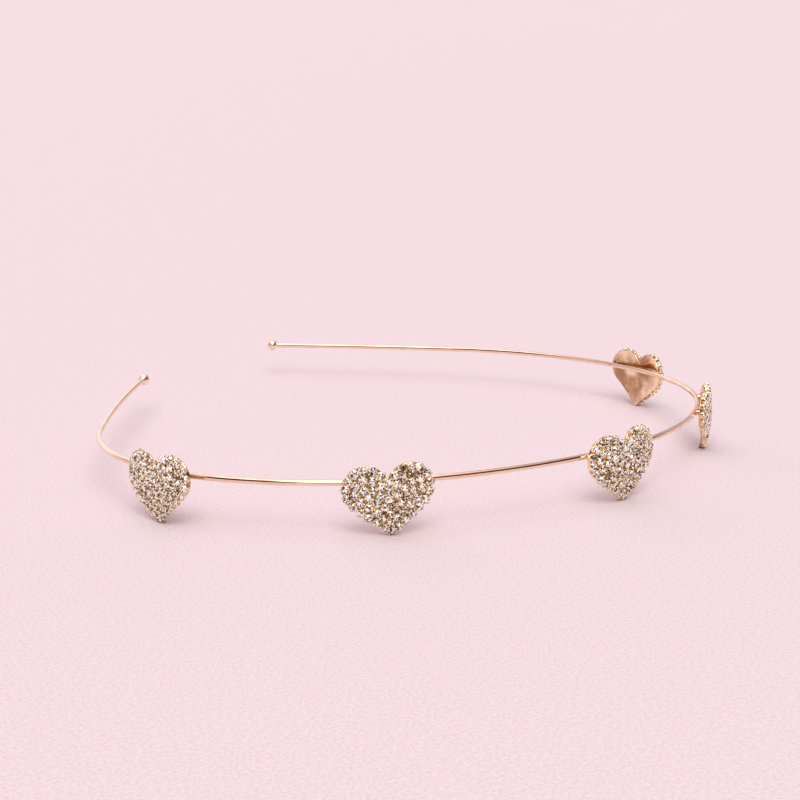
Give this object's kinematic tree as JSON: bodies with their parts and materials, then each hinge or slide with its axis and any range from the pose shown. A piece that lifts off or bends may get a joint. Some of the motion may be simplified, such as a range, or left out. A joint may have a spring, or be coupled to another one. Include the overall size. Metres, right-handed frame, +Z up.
{
  "type": "heart headband",
  "caption": "Slim open wire headband with a ball on each end and domed heart plaques paved with cut stones along its crown; worn over the head to hold the hair back.",
  "frame": {"origin": "on the surface that the heart tips stand on, under the middle of the part's box", "axes": "+Z up from that surface, -Y out through the crown heart, +Y towards the open ends, +X from the left ball end's side to the right one's"},
  "size_m": [0.1498, 0.1474, 0.0153],
  "materials": {
    "gold": "polished rose gold plating",
    "crystal": "faceted, foil backed, in gold claws"
  },
  "bodies": {
    "root": {"band_wire": "gold", "ball_end_left": "gold", "ball_end_right": "gold", "heart_plate_1": "gold", "heart_stones_1": "crystal", "heart_plate_2": "gold", "heart_stones_2": "crystal", "heart_plate_3": "gold", "heart_stones_3": "crystal", "heart_plate_4": "gold", "heart_stones_4": "crystal", "heart_plate_5": "gold", "heart_stones_5": "crystal"}
  },
  "joints": []
}
